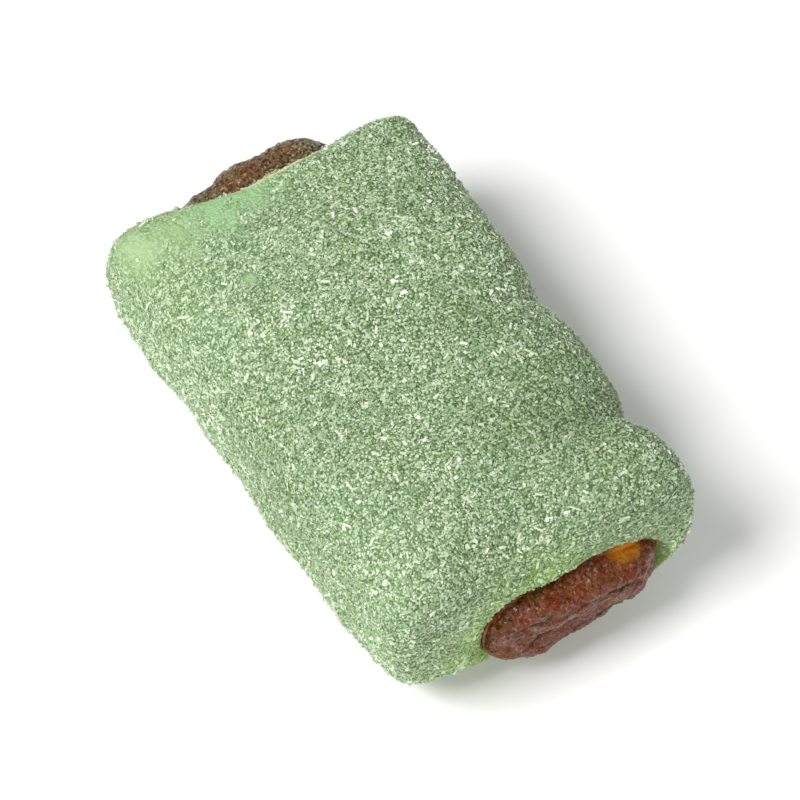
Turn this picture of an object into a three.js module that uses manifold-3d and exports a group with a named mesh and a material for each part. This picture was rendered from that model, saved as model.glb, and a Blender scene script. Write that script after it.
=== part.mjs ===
// A mochi rice cake: a soft pillow-shaped roll of green glutinous-rice dough, drawn round a
// strip of sweet bean paste that shows at both ends, with shreds of dried coconut on its skin.
// Millimetres. +X runs along the roll, +Y is its creased long side and +Z is up. The roll has
// settled on a flat underside at z = 0, with the origin under its middle.

import * as THREE from 'three';
import { MeshSurfaceSampler } from 'three/addons/math/MeshSurfaceSampler.js';
import { mergeVertices } from 'three/addons/utils/BufferGeometryUtils.js';
import Module from 'manifold-3d';

const { clamp, lerp, smoothstep } = THREE.MathUtils;
const wasm = await Module();
wasm.setup();

// driving sizes of the dough
const LENGTH = 56.4;               // between its two end faces, at the paste
const WIDTH = 38.2;                // without the lobes of the creased side
const TAPER = 1.3;                 // half the width gains this at the far end, less at the near
const HEIGHT = 26.6;
const CORE = 0.47 * HEIGHT;        // height of the line that each section is drawn round
const SKIN_RADIUS = 17;            // the skin's usual distance from that line
const TOP_SQUARENESS = 3.2;        // superellipse powers: 2 is an ellipse, more is squarer
const END_SQUARENESS = { gain: 2.0, from: 14 };   // of the top, towards both ends
const BASE_SQUARENESS = 3.1;
const BASE_SAG = 1.4;              // how far the round underside would reach below the table
const FAR_SLUMP = { depth: 2.1, from: 8 };    // the top sinks this much from here to its end
const NEAR_SLUMP = { depth: 1.0, from: 10 };
const SHIFT = { x: 1.0, y: 0.25 };            // puts the origin under the middle of the whole

// the rounded edge of each end: its radius on top, underneath and at the flanks, and what it
// gains at the two upper and at the two lower corners
const EDGES = {
  near: { top: 8.0, base: 2.0, flank: 1.6, topCorner: 0, baseCorner: 3.0 },
  far: { top: 1.2, base: 4.0, flank: 1.4, topCorner: 1.6, baseCorner: 0 },
};
// how far each end lies past the mouth round the paste: at its +Y and its -Y flank, on top
// and underneath
const REACH = {
  near: { plusY: 1.9, minusY: 0.9, top: 0, base: -2.5 },
  far: { plusY: 1.4, minusY: 3.5, top: 0, base: 0 },
};
const REACH_POWER = 3;
const FACE_BULGE = 0.8;            // the end faces swell between their edge and the mouth
const FACE_DIP = { near: -0.3, far: 0.6 };   // how much further in the mouths lie

// hollows pressed into the skin towards an end: end, depth, angle round the roll and spread
const HOLLOWS = [
  { end: -1, depth: 1.3, at: 1.7, spread: 0.7 },
  { end: 1, depth: 1.0, at: -2.2, spread: 0.8 },
];
const HOLLOW_START = 11;           // a hollow starts this far from the end
const HOLLOW_FULL = 1;             // and is at its deepest this far from it

// the creased side: lobes that swell between two creases, each pressed in by a fold
const LOBES = [
  { from: -LENGTH / 2 - 2, to: 0.8, rise: 0.9 },
  { from: 0.8, to: 18.4, rise: 1.2 },
  { from: 18.4, to: LENGTH / 2 + 5.0, rise: 1.6 },
];
const LOBE_FULLNESS = 0.73;        // under 1, a lobe rises steeply out of its creases
const CREASES = [
  { at: 0.8, depth: 0.9, width: 1.8 },
  { at: 18.4, depth: 0.8, width: 1.6 },
];
const SIDE_FLARE = 1.25;           // the creased side spreads this much towards the near end
const SIDE_SET_IN = 0.45;
const SIDE_ANGLE = 0.15;           // round from +Y, where the lobes are highest
const SIDE_SPREAD = 0.75;          // how far round they reach, in radians

// soft unevenness of hand-made dough: height, waves along, waves round, phase
const LUMPS = [
  [0.16, 0.11, 2, 0.4],
  [0.16, 0.19, 1, 2.1],
  [0.13, 0.27, 3, 4.0],
  [0.12, 0.42, 5, 1.0],
  [0.07, 0.55, 4, 5.2],
];

// the paste, a flattened strip that runs right through and swells out at both ends
const PASTE = { halfWidth: 10.6, halfHeight: 5.8, squareness: 2.5 };
const PASTE_NEAR = { y: 3.8, z: 9.4 };       // its middle at the two ends
const PASTE_FAR = { y: -0.2, z: 14.9 };
// unevenness of its section, as parts of its radius: size, waves round, twist, phase
const PASTE_WAVES = [[0.05, 2, 0.8, 0.5], [0.045, 3, 1.3, 0], [0.03, 5, 2.0, 0]];
const PASTE_SWELL = { near: 4.0, far: 6.0 };
const PASTE_BLUNTNESS = 0.6;       // of the swollen ends: 1 is round, less is flatter
const PASTE_ROOT = 1.0;            // the swelling starts this far inside the end
const PASTE_RELIEF_FADE = 0.35;    // its rim stays smooth over this share of the swelling
// ridges and hollows of its swollen ends: height, waves across, waves up, phase
const PASTE_RELIEF = [[0.12, 0.8, 0.5, 0.3], [0.10, -0.6, 1.2, 2.0], [0.07, 1.5, 0.9, 4.1]];
const GAP = 0.35;                  // between paste and dough

// shreds of coconut, largest first, stuck on at all angles
const SHREDS = 280;
const SHRED_SIZE = { first: [2.1, 0.8, 0.55], last: [1.2, 0.6, 0.45] };
const SHRED_SPACING = 3.6;
const SHRED_TRIES = 9000;
const SHRED_TAPER = [0.35, 0.8];   // the narrow end's width, as a share of the wide end's
const SHRED_BEND = 0.25;           // how far sideways the narrow end bends, in widths
const SHRED_TILT = 0.35;           // the most that one leans out of the skin, in radians
const SHRED_LIFT = 0.1;            // how far its middle stands out of the skin, in thicknesses
const BARE_BASE = 1.5;             // nothing sticks below this height
const BARE_MOUTH = 2.0;            // nor this close to the paste
const SEED = 20;

// how finely the surfaces are divided
const ROUND = 48;
const SKIN_RINGS = 22;
const EDGE_RINGS = 4;
const FACE_RINGS = 2;
const CHANNEL_RINGS = 4;
const CAP_RINGS = 7;
const RING = { radius: 2, thickness: 2 };   // the plain ring before it is pulled into shape
const MERGE_WITHIN = 1e-4;

/** A seeded source of random numbers from 0 to 1. */
function seededRandom(seed) {
  let state = seed;
  return () => {
    state = (state * 1664525 + 1013904223) % 4294967296;
    return state / 4294967296;
  };
}

/** Distance from the centre to the rim of a superellipse, at an angle. */
function superellipse(angle, halfWidth, halfHeight, squareness) {
  const across = Math.abs(Math.cos(angle)) / halfWidth;
  const up = Math.abs(Math.sin(angle)) / halfHeight;
  return (across ** squareness + up ** squareness) ** (-1 / squareness);
}

/** 1 at one angle round the roll and less the further it is from there. */
function hump(angle, at, spread) {
  const turn = Math.atan2(Math.sin(angle - at), Math.cos(angle - at));
  return Math.exp(-((turn / spread) ** 2));
}

/** The dough's plain section at x, before hollows, creases and lumps. */
function sectionRadius(x, angle) {
  const halfWidth = WIDTH / 2 - (TAPER * x) / (LENGTH / 2);
  if (Math.sin(angle) <= 0) {
    return superellipse(angle, halfWidth, CORE + BASE_SAG, BASE_SQUARENESS);
  }
  const farSlump = FAR_SLUMP.depth * smoothstep(-x, FAR_SLUMP.from, LENGTH / 2);
  const nearSlump = NEAR_SLUMP.depth * smoothstep(x, NEAR_SLUMP.from, LENGTH / 2);
  const top = HEIGHT - CORE - farSlump - nearSlump;
  const towardsEnd = smoothstep(Math.abs(x), END_SQUARENESS.from, LENGTH / 2);
  const squareness = TOP_SQUARENESS + END_SQUARENESS.gain * towardsEnd;
  return superellipse(angle, halfWidth, top, squareness);
}

function hollows(x, angle) {
  let depth = 0;
  for (const hollow of HOLLOWS) {
    const inside = hollow.end * x - LENGTH / 2;
    const along = smoothstep(inside, -HOLLOW_START, -HOLLOW_FULL);
    depth += hollow.depth * along * hump(angle, hollow.at, hollow.spread);
  }
  return depth;
}

/** Lobes and creases of the +Y side. */
function creasedSide(x, angle) {
  let height = (SIDE_FLARE * x) / (LENGTH / 2) - SIDE_SET_IN;
  for (const { from, to, rise } of LOBES) {
    const along = clamp((x - from) / (to - from), 0, 1);
    height += rise * (4 * along * (1 - along)) ** LOBE_FULLNESS;
  }
  for (const { at, depth, width } of CREASES) {
    height -= depth * Math.exp(-Math.abs(x - at) / width);
  }
  return height * hump(angle, SIDE_ANGLE, SIDE_SPREAD);
}

function lumps(x, angle) {
  let height = 0;
  for (const [size, along, round, phase] of LUMPS) {
    height += size * Math.sin(along * x + round * angle + phase);
  }
  return height;
}

/** How far the end lies past the mouth round the paste, at an angle round the roll. */
function endReach(side, angle) {
  const reach = side > 0 ? REACH.near : REACH.far;
  const across = Math.cos(angle);
  const up = Math.sin(angle);
  const flank = (across > 0 ? reach.plusY : reach.minusY) * Math.abs(across) ** REACH_POWER;
  return flank + (up > 0 ? reach.top : reach.base) * Math.abs(up) ** REACH_POWER;
}

/** Radius of the rounded edge of an end, at an angle round the roll. */
function edgeRadius(side, angle) {
  const edge = side > 0 ? EDGES.near : EDGES.far;
  const above = Math.sin(angle) > 0;
  const radius = lerp(edge.flank, above ? edge.top : edge.base, Math.sin(angle) ** 2);
  return radius + (above ? edge.topCorner : edge.baseCorner) * Math.sin(2 * angle) ** 2;
}

/** X where the skin meets the rounded edge of an end. */
function skinEnd(side, angle) {
  return side * (LENGTH / 2 + endReach(side, angle) - edgeRadius(side, angle));
}

/** Y and Z of the middle of the paste at x. */
function pasteMiddle(x) {
  const share = clamp(x / LENGTH + 0.5, 0, 1);
  return {
    y: lerp(PASTE_FAR.y, PASTE_NEAR.y, share),
    z: lerp(PASTE_FAR.z, PASTE_NEAR.z, share),
  };
}

/** The paste's radius at x, measured from its middle. */
function pasteRadius(x, angle) {
  const end = clamp(x / (LENGTH / 2), -1, 1);
  let swell = 1;
  for (const [size, round, twist, phase] of PASTE_WAVES) {
    swell += size * Math.sin(round * angle + twist * end + phase);
  }
  return superellipse(angle, PASTE.halfWidth, PASTE.halfHeight, PASTE.squareness) * swell;
}

/** A point of the paste's own section at x; spread is 1 at its skin and 0 at its middle. */
function pastePoint(x, angle, spread, grown) {
  const middle = pasteMiddle(x);
  const radius = (pasteRadius(x, angle) + grown) * spread;
  return new THREE.Vector3(
    x,
    middle.y + radius * Math.cos(angle),
    middle.z + radius * Math.sin(angle),
  );
}

/** The angle round the core of the dough's skin that faces an angle round the paste. */
function facingAngle(x, angle) {
  const middle = pasteMiddle(x);
  const direction = new THREE.Vector2(Math.cos(angle), Math.sin(angle));
  const start = new THREE.Vector2(middle.y, middle.z - CORE);
  const along = start.dot(direction);
  const reach = Math.sqrt(along ** 2 - start.lengthSq() + SKIN_RADIUS ** 2) - along;
  return start.addScaledVector(direction, reach).angle();
}

/** How far a point lies outside the outline of the paste. */
function beyondPaste(point) {
  const middle = pasteMiddle(point.x);
  const y = point.y - middle.y;
  const z = point.z - middle.z;
  return Math.hypot(y, z) - pasteRadius(point.x, Math.atan2(z, y));
}

/** A point of the dough's outer skin at x, drawn in by inset towards the core. */
function skinPoint(x, angle, inset) {
  const plain = sectionRadius(x, angle) - hollows(x, angle);
  const radius = plain + creasedSide(x, angle) + lumps(x, angle) - inset;
  return new THREE.Vector3(x, radius * Math.cos(angle), CORE + radius * Math.sin(angle));
}

/** The rounded edge: turn runs from 0, level with the skin, to a quarter circle at the face. */
function edgePoint(side, turn, angle) {
  const radius = edgeRadius(side, angle);
  const x = skinEnd(side, angle) + side * radius * Math.sin(turn);
  return skinPoint(x, angle, radius * (1 - Math.cos(turn)));
}

/** The end face: inward is 0 at its rounded edge and 1 at the mouth round the paste. */
function facePoint(side, inward, angle) {
  const dip = side > 0 ? FACE_DIP.near : FACE_DIP.far;
  const rim = edgePoint(side, Math.PI / 2, facingAngle((side * LENGTH) / 2, angle));
  const mouth = pastePoint((side * LENGTH) / 2, angle, 1, GAP);
  const point = rim.lerp(mouth, inward);
  point.x += side * (FACE_BULGE * Math.sin(Math.PI * inward) - dip * inward);
  return point;
}

/** X of the rings along the channel, from the far end to the near one. */
function channelRings() {
  const half = LENGTH / 2 - FACE_DIP.far - PASTE_ROOT;
  return Array.from({ length: CHANNEL_RINGS }, (_, i) => {
    return lerp(-half, half, i / (CHANNEL_RINGS - 1));
  });
}

/** Stations of the dough's tube: each is a function from the angle round the paste to a point. */
function doughStations() {
  const skin = (share) => (angle) => {
    const facing = facingAngle(lerp(-LENGTH / 2, LENGTH / 2, share), angle);
    return skinPoint(lerp(skinEnd(-1, facing), skinEnd(1, facing), share), facing, 0);
  };
  const edge = (side, turn) => (angle) => {
    return edgePoint(side, turn, facingAngle((side * LENGTH) / 2, angle));
  };
  const face = (side, inward) => (angle) => facePoint(side, inward, angle);
  const channel = (x) => (angle) => pastePoint(x, angle, 1, GAP);
  const steps = (count, make) => Array.from({ length: count }, (_, i) => make(i));
  const end = (side) => [
    ...steps(EDGE_RINGS, (i) => edge(side, ((i + 1) / EDGE_RINGS) * (Math.PI / 2))),
    ...steps(FACE_RINGS, (i) => face(side, (i + 1) / FACE_RINGS)),
  ];
  return [
    ...end(-1).reverse(),
    ...steps(SKIN_RINGS, (i) => skin(i / (SKIN_RINGS - 1))),
    ...end(1),
    ...channelRings().reverse().map(channel),
  ];
}

/** Moves every vertex of a lathe to where its station and angle put it. */
function pulled(lathe, stations) {
  const place = lathe.getAttribute('position');
  for (let i = 0; i <= ROUND; i += 1) {
    const angle = ((i % ROUND) / ROUND) * 2 * Math.PI;
    for (let j = 0; j < stations.length; j += 1) {
      const point = stations[j](angle);
      place.setXYZ(i * stations.length + j, point.x, point.y, Math.max(point.z, 0));
    }
  }
  return closed(lathe);
}

/** A geometry with shared vertices merged, so that it is one closed skin. */
function closed(geometry) {
  const bare = geometry.clone();
  bare.deleteAttribute('normal');
  bare.deleteAttribute('uv');
  return mergeVertices(bare, MERGE_WITHIN);
}

/** The dough as a tube: a ring is turned on a lathe, then pulled to the tube's stations. */
function doughGeometry() {
  const stations = doughStations();
  stations.push(stations[0]);
  const circle = new THREE.Path().absarc(RING.radius, 0, RING.thickness / 2, 0, 2 * Math.PI);
  const section = circle.getSpacedPoints(stations.length - 1);
  return pulled(new THREE.LatheGeometry(section, ROUND), stations);
}

/** Stations of the paste: a swollen cap at each end and a plain strip between them. */
function pasteStations() {
  const cap = (side, rise) => (angle) => {
    const swell = side > 0 ? PASTE_SWELL.near : PASTE_SWELL.far;
    const spread = Math.abs(Math.cos((rise * Math.PI) / 2)) ** PASTE_BLUNTNESS;
    const reach = (swell + PASTE_ROOT) * Math.sin((rise * Math.PI) / 2) ** PASTE_BLUNTNESS;
    const x = side * (LENGTH / 2 - PASTE_ROOT + reach);
    const point = pastePoint(x, angle, spread, 0);
    const fade = smoothstep(rise, 0, PASTE_RELIEF_FADE);
    for (const [size, across, up, phase] of PASTE_RELIEF) {
      point.x += side * size * fade * Math.sin(across * point.y + up * point.z + phase);
    }
    return point;
  };
  const stations = [];
  for (let i = 0; i <= CAP_RINGS; i += 1) {
    stations.push(cap(-1, 1 - i / CAP_RINGS));
  }
  for (const x of channelRings().slice(1, -1)) {
    stations.push((angle) => pastePoint(x, angle, 1, 0));
  }
  for (let i = 0; i <= CAP_RINGS; i += 1) {
    stations.push(cap(1, i / CAP_RINGS));
  }
  return stations;
}

/** The paste: a profile from axis to axis, turned on a lathe and pulled to its stations. */
function pasteGeometry() {
  const stations = pasteStations();
  const last = stations.length - 1;
  const profile = stations.map((_, j) => new THREE.Vector2(Math.sin((j / last) * Math.PI), j));
  return pulled(new THREE.LatheGeometry(profile, ROUND), stations);
}

function solidOf(geometry) {
  const merged = closed(geometry);
  return new wasm.Manifold(new wasm.Mesh({
    numProp: 3,
    vertProperties: new Float32Array(merged.getAttribute('position').array),
    triVerts: new Uint32Array(merged.index.array),
  }));
}

function geometryOf(solid) {
  const mesh = solid.getMesh();
  const geometry = new THREE.BufferGeometry();
  geometry.setAttribute('position', new THREE.BufferAttribute(mesh.vertProperties, 3));
  geometry.setIndex(new THREE.BufferAttribute(mesh.triVerts, 1));
  return geometry;
}

/** One shred: a thin sliver, narrower at one end and slightly bent. */
function shredGeometry(length, width, thickness, random) {
  const shred = new THREE.BoxGeometry(length, width, thickness);
  const place = shred.getAttribute('position');
  const taper = lerp(...SHRED_TAPER, random());
  const bend = lerp(-SHRED_BEND, SHRED_BEND, random()) * width;
  for (let i = 0; i < place.count; i += 1) {
    const tip = place.getX(i) > 0;
    place.setY(i, place.getY(i) * (tip ? taper : 1) + (tip ? bend : 0));
  }
  return shred;
}

/** Places for the shreds: random on the skin, evenly apart, clear of the table and the paste. */
function shredPlaces(dough, random) {
  const skin = dough.clone();
  skin.computeVertexNormals();
  const sampler = new MeshSurfaceSampler(new THREE.Mesh(skin));
  sampler.setRandomGenerator(random);
  sampler.build();
  const places = [];
  for (let i = 0; i < SHRED_TRIES && places.length < SHREDS; i += 1) {
    const point = new THREE.Vector3();
    const normal = new THREE.Vector3();
    sampler.sample(point, normal);
    const onSkin = beyondPaste(point) > BARE_MOUTH && point.z > BARE_BASE;
    const apart = places.every((other) => other.point.distanceTo(point) > SHRED_SPACING);
    if (onSkin && apart) {
      places.push({ point, normal });
    }
  }
  return places;
}

/** The dough with its shreds fused on. */
function coatedDough() {
  const random = seededRandom(SEED);
  const dough = doughGeometry();
  let solid = solidOf(dough);
  const places = shredPlaces(dough, random);
  places.forEach(({ point, normal }, i) => {
    const age = i / (SHREDS - 1);
    const size = SHRED_SIZE.first.map((first, k) => lerp(first, SHRED_SIZE.last[k], age));
    const shred = shredGeometry(...size, random);
    shred.rotateZ(random() * 2 * Math.PI);
    shred.rotateX(lerp(-SHRED_TILT, SHRED_TILT, random()));
    const facing = new THREE.Quaternion().setFromUnitVectors(new THREE.Vector3(0, 0, 1), normal);
    shred.applyQuaternion(facing);
    const lifted = point.addScaledVector(normal, SHRED_LIFT * size[2]);
    shred.translate(lifted.x, lifted.y, lifted.z);
    solid = solid.add(solidOf(shred));
  });
  return geometryOf(solid);
}

const doughMaterial = new THREE.MeshStandardMaterial({
  color: 0x9cb98a,
  roughness: 0.75,
  metalness: 0,
});
const pasteMaterial = new THREE.MeshStandardMaterial({
  color: 0x5c2a17,
  roughness: 0.3,
  metalness: 0,
});

const dough = new THREE.Mesh(coatedDough(), doughMaterial);
dough.name = 'dough';

const filling = new THREE.Mesh(pasteGeometry(), pasteMaterial);
filling.name = 'filling';

const mochi = new THREE.Group();
mochi.add(dough, filling);
mochi.position.set(SHIFT.x, SHIFT.y, 0);

export default mochi;
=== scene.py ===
"""A mochi rice cake: soft green rice dough in a coat of dried coconut, round sweet bean paste.

Shapes are worked out in millimetres, and MM turns them into Blender's metres. +X runs along
the roll, +Y is its creased long side and +Z is up.
"""

import math
from typing import Callable, NamedTuple

import bmesh
import bpy
import numpy as np
from mathutils import Matrix, Vector, noise


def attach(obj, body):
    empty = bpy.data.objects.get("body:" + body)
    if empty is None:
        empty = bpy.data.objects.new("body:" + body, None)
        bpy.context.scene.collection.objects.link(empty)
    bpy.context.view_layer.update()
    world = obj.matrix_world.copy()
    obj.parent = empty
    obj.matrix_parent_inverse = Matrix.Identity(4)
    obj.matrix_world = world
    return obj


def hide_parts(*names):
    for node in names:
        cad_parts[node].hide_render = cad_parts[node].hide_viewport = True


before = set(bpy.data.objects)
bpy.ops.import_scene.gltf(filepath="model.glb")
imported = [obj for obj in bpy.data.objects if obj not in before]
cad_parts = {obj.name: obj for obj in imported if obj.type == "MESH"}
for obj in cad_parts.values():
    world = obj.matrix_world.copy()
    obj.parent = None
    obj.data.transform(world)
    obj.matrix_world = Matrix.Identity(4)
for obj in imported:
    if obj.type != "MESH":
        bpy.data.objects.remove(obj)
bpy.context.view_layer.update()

MM = 0.001

# ---------------------------------------------------------------- driving sizes of the roll
LENGTH = 56.4  # between the two end faces, at the paste
WIDTH = 38.2
TAPER = 1.3  # half the width gains this much at the far end and loses it at the near end
HEIGHT = 26.6
CORE = 0.47 * HEIGHT  # height of the line that each section is drawn round
SKIN_RADIUS = 17.0  # the skin's usual distance from that line
TOP_SQUARENESS = 3.2
END_SQUARENESS = 2.0  # added towards both ends
END_SQUARENESS_FROM = 14.0  # from this far along
BASE_SQUARENESS = 3.1
BASE_SAG = 1.4  # how far the round underside would reach below the table
FAR_SLUMP = 2.1  # how far the top sinks towards the far end, and from how far along
FAR_SLUMP_FROM = 8.0
NEAR_SLUMP = 1.0
NEAR_SLUMP_FROM = 10.0
SHIFT = np.array([1.0, 0.25, 0.0])  # brings the middle of the finished roll over the origin
UNDERSIDE = 0.22  # the dough itself lies this high, on the coconut under it

# the rounded edge of each end: its radius on top, underneath and at the flanks, and what it
# gains at the two upper and at the two lower corners
NEAR_EDGE = (8.0, 2.0, 1.6, 0.0, 3.0)
FAR_EDGE = (1.2, 4.0, 1.4, 1.6, 0.0)
# how far each end lies past the paste's mouth: at its +Y and -Y flank, on top and underneath
NEAR_REACH = (1.9, 0.9, 0.0, -2.5)
FAR_REACH = (1.4, 3.5, 0.0, 0.0)
REACH_POWER = 3.0
FACE_BULGE = 0.8
FACE_DIP = (-0.3, 0.6)  # how much further in the near and the far mouth lie

# hollows pressed into the skin towards an end: side, depth, angle and spread
HOLLOWS = ((-1, 1.3, 1.7, 0.7), (1, 1.0, -2.2, 0.8))
HOLLOW_RUN = (11.0, 1.0)  # starts and is full this far from the end

# the creased side: from, to and rise of each lobe, and at, depth and width of each crease
LOBES = ((-LENGTH / 2 - 2.0, 0.8, 0.9), (0.8, 18.4, 1.2), (18.4, LENGTH / 2 + 5.0, 1.6))
LOBE_FULLNESS = 0.73
CREASES = ((0.8, 0.9, 1.8), (18.4, 0.8, 1.6))
SIDE_FLARE = 1.25  # how much further out it lies at the near end than half way along
SIDE_SET_IN = 0.45
SIDE_ANGLE = 0.15  # where round the roll it is fullest, and how far it spreads from there
SIDE_SPREAD = 0.75

# soft unevenness: height, waves along, waves round, phase
LUMPS = (
    (0.16, 0.11, 2, 0.4),
    (0.16, 0.19, 1, 2.1),
    (0.13, 0.27, 3, 4.0),
    (0.12, 0.42, 5, 1.0),
    (0.07, 0.55, 4, 5.2),
)

# the strip of paste: half its width and height, and its middle at the near and far end
PASTE_HALF_WIDTH = 10.6
PASTE_HALF_HEIGHT = 5.8
PASTE_SQUARENESS = 2.5
PASTE_NEAR = (3.8, 9.4)
PASTE_FAR = (-0.2, 14.9)
# unevenness of its outline: share, waves round, twist along and phase
PASTE_WAVES = ((0.05, 2, 0.8, 0.5), (0.045, 3, 1.3, 0.0), (0.03, 5, 2.0, 0.0))
PASTE_SWELL = (4.0, 6.0)  # how far it stands out of the near and of the far end
PASTE_BLUNTNESS = 0.6  # of its two ends: 1 is round, less is flatter
PASTE_ROOT = 1.0  # each rounded end starts this far inside its end face
# waves of its two ends: height, waves across, waves up and phase
PASTE_RELIEF = ((0.12, 0.8, 0.5, 0.3), (0.10, -0.6, 1.2, 2.0), (0.07, 1.5, 0.9, 4.1))
PASTE_RELIEF_FADE = 0.35
GAP = 0.2  # between the paste and the dough

SEED = 20


# ------------------------------------------------------------------------- shape functions
def smoothstep(value, low, high):
    """0 up to low, 1 from high on and smooth between them."""
    share = np.clip((value - low) / (high - low), 0.0, 1.0)
    return share * share * (3.0 - 2.0 * share)


def superellipse(angle, half_width, half_height, squareness):
    """Distance from the centre to the rim, at an angle."""
    across = np.abs(np.cos(angle)) / half_width
    up = np.abs(np.sin(angle)) / half_height
    return (across**squareness + up**squareness) ** (-1.0 / squareness)


def hump(angle, at, spread):
    """1 at one angle round the roll and less the further it is from there."""
    turn = np.arctan2(np.sin(angle - at), np.cos(angle - at))
    return np.exp(-((turn / spread) ** 2))


def section_radius(x, angle):
    """The dough's plain section at x, before creases and lumps."""
    half_width = WIDTH / 2 - TAPER * x / (LENGTH / 2)
    slump = FAR_SLUMP * smoothstep(-x, FAR_SLUMP_FROM, LENGTH / 2)
    slump = slump + NEAR_SLUMP * smoothstep(x, NEAR_SLUMP_FROM, LENGTH / 2)
    towards_end = smoothstep(np.abs(x), END_SQUARENESS_FROM, LENGTH / 2)
    squareness = TOP_SQUARENESS + END_SQUARENESS * towards_end
    top = superellipse(angle, half_width, HEIGHT - CORE - slump, squareness)
    base = superellipse(angle, half_width, CORE + BASE_SAG, BASE_SQUARENESS)
    return np.where(np.sin(angle) > 0, top, base)


def hollows(x, angle):
    """How far the skin is pressed in near the two ends."""
    depth = 0.0
    for side, size, at, spread in HOLLOWS:
        from_end = LENGTH / 2 - side * x
        share = smoothstep(-from_end, -HOLLOW_RUN[0], -HOLLOW_RUN[1])
        depth = depth + size * share * hump(angle, at, spread)
    return depth


def creased_side(x, angle):
    """Lobes and creases of the +Y side."""
    height = SIDE_FLARE * x / (LENGTH / 2) - SIDE_SET_IN
    for start, end, rise in LOBES:
        along = np.clip((x - start) / (end - start), 0.0, 1.0)
        height = height + rise * (4.0 * along * (1.0 - along)) ** LOBE_FULLNESS
    for at, depth, width in CREASES:
        height = height - depth * np.exp(-np.abs(x - at) / width)
    return height * hump(angle, SIDE_ANGLE, SIDE_SPREAD)


def lumps(x, angle):
    """The soft unevenness of the whole skin."""
    height = 0.0
    for size, along, around, phase in LUMPS:
        height = height + size * np.sin(along * x + around * angle + phase)
    return height


def end_reach(side, angle):
    """How far the end face lies past the paste's mouth, at an angle round the roll."""
    left, right, top, base = NEAR_REACH if side > 0 else FAR_REACH
    across, up = np.cos(angle), np.sin(angle)
    flank = np.where(across > 0, left, right) * np.abs(across) ** REACH_POWER
    return flank + np.where(up > 0, top, base) * np.abs(up) ** REACH_POWER


def edge_radius(side, angle):
    """Radius of the rounded edge of an end face, at an angle round the roll."""
    top, base, flank, top_corner, base_corner = NEAR_EDGE if side > 0 else FAR_EDGE
    above = np.sin(angle) > 0
    upright = np.sin(angle) ** 2
    corner = np.sin(2.0 * angle) ** 2 * np.where(above, top_corner, base_corner)
    return flank + (np.where(above, top, base) - flank) * upright + corner


def skin_end(side, angle):
    """X where the skin meets the rounded edge of an end face."""
    return side * (LENGTH / 2 + end_reach(side, angle) - edge_radius(side, angle))


def paste_middle(x):
    """Y and Z of the middle of the paste at x."""
    share = np.clip(x / LENGTH + 0.5, 0.0, 1.0)
    y = PASTE_FAR[0] + (PASTE_NEAR[0] - PASTE_FAR[0]) * share
    z = PASTE_FAR[1] + (PASTE_NEAR[1] - PASTE_FAR[1]) * share
    return y, z


def paste_radius(x, angle):
    """Distance from the middle of the paste to its skin at x."""
    end = np.clip(x / (LENGTH / 2), -1.0, 1.0)
    swell = 1.0
    for size, around, twist, phase in PASTE_WAVES:
        swell = swell + size * np.sin(around * angle + twist * end + phase)
    rim = superellipse(angle, PASTE_HALF_WIDTH, PASTE_HALF_HEIGHT, PASTE_SQUARENESS)
    return rim * swell


def paste_point(x, angle, spread, grown):
    """A point of the paste's section at x; spread is 1 at its skin and 0 at its middle."""
    y, z = paste_middle(x)
    radius = (paste_radius(x, angle) + grown) * spread
    x = x + np.zeros_like(angle)
    return np.stack([x, y + radius * np.cos(angle), z + radius * np.sin(angle)], -1)


def facing_angle(x, angle):
    """The angle round the core of the dough's skin that faces an angle round the paste."""
    y, z = paste_middle(x)
    z = z - CORE
    across, up = np.cos(angle), np.sin(angle)
    along = y * across + z * up
    reach = np.sqrt(along**2 - y**2 - z**2 + SKIN_RADIUS**2) - along
    return np.arctan2(z + reach * up, y + reach * across)


def skin_radius(x, angle):
    """How far the dough's outer skin at x lies from the core."""
    radius = section_radius(x, angle) - hollows(x, angle)
    return radius + creased_side(x, angle) + lumps(x, angle)


def skin_point(x, angle, inset):
    """A point of the dough's outer skin at x, drawn in by inset towards the core."""
    radius = skin_radius(x, angle) - inset
    x = x + np.zeros_like(angle)
    return np.stack([x, radius * np.cos(angle), CORE + radius * np.sin(angle)], -1)


def edge_point(side, turn, angle):
    """The rounded edge: turn runs from 0, at the skin, to a quarter circle at the face."""
    radius = edge_radius(side, angle)
    x = skin_end(side, angle) + side * radius * math.sin(turn)
    return skin_point(x, angle, radius * (1.0 - math.cos(turn)))


def face_point(side, inward, angle):
    """The end face: inward is 0 at its rounded edge and 1 at the mouth round the paste."""
    rim = edge_point(side, math.pi / 2, facing_angle(side * LENGTH / 2, angle))
    mouth = paste_point(side * LENGTH / 2, angle, 1.0, GAP)
    point = rim + (mouth - rim) * inward
    dip = FACE_DIP[0] if side > 0 else FACE_DIP[1]
    point[:, 0] += side * (FACE_BULGE * math.sin(math.pi * inward) - dip * inward)
    return point


def from_paste(points):
    """How far points lie from the middle of the paste, in Y and in Z."""
    y, z = paste_middle(points[:, 0])
    return points[:, 1] - y, points[:, 2] - z


def beyond_mouth(points):
    """How far points of the dough lie outside the outline of the paste, in millimetres."""
    y, z = from_paste(points)
    angle = np.arctan2(z, y)
    return np.hypot(y, z) - paste_radius(points[:, 0], angle)


# ---------------------------------------------------------------------------- mesh helpers
RING_REACH = 3.0  # radius of a spun ring before it is pulled into shape
SEED_STEP = (17.3, 7.1, 3.7)  # the noise of each seed lies this far from the last one's
FRACTAL_INCREMENT = 1.0
LACUNARITY = 2.0


def coordinates(mesh):
    flat = np.empty(len(mesh.vertices) * 3)
    mesh.vertices.foreach_get("co", flat)
    return flat.reshape(-1, 3)


def set_coordinates(mesh, points):
    mesh.vertices.foreach_set("co", np.ascontiguousarray(points, dtype=np.float32).ravel())
    mesh.update()


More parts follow.
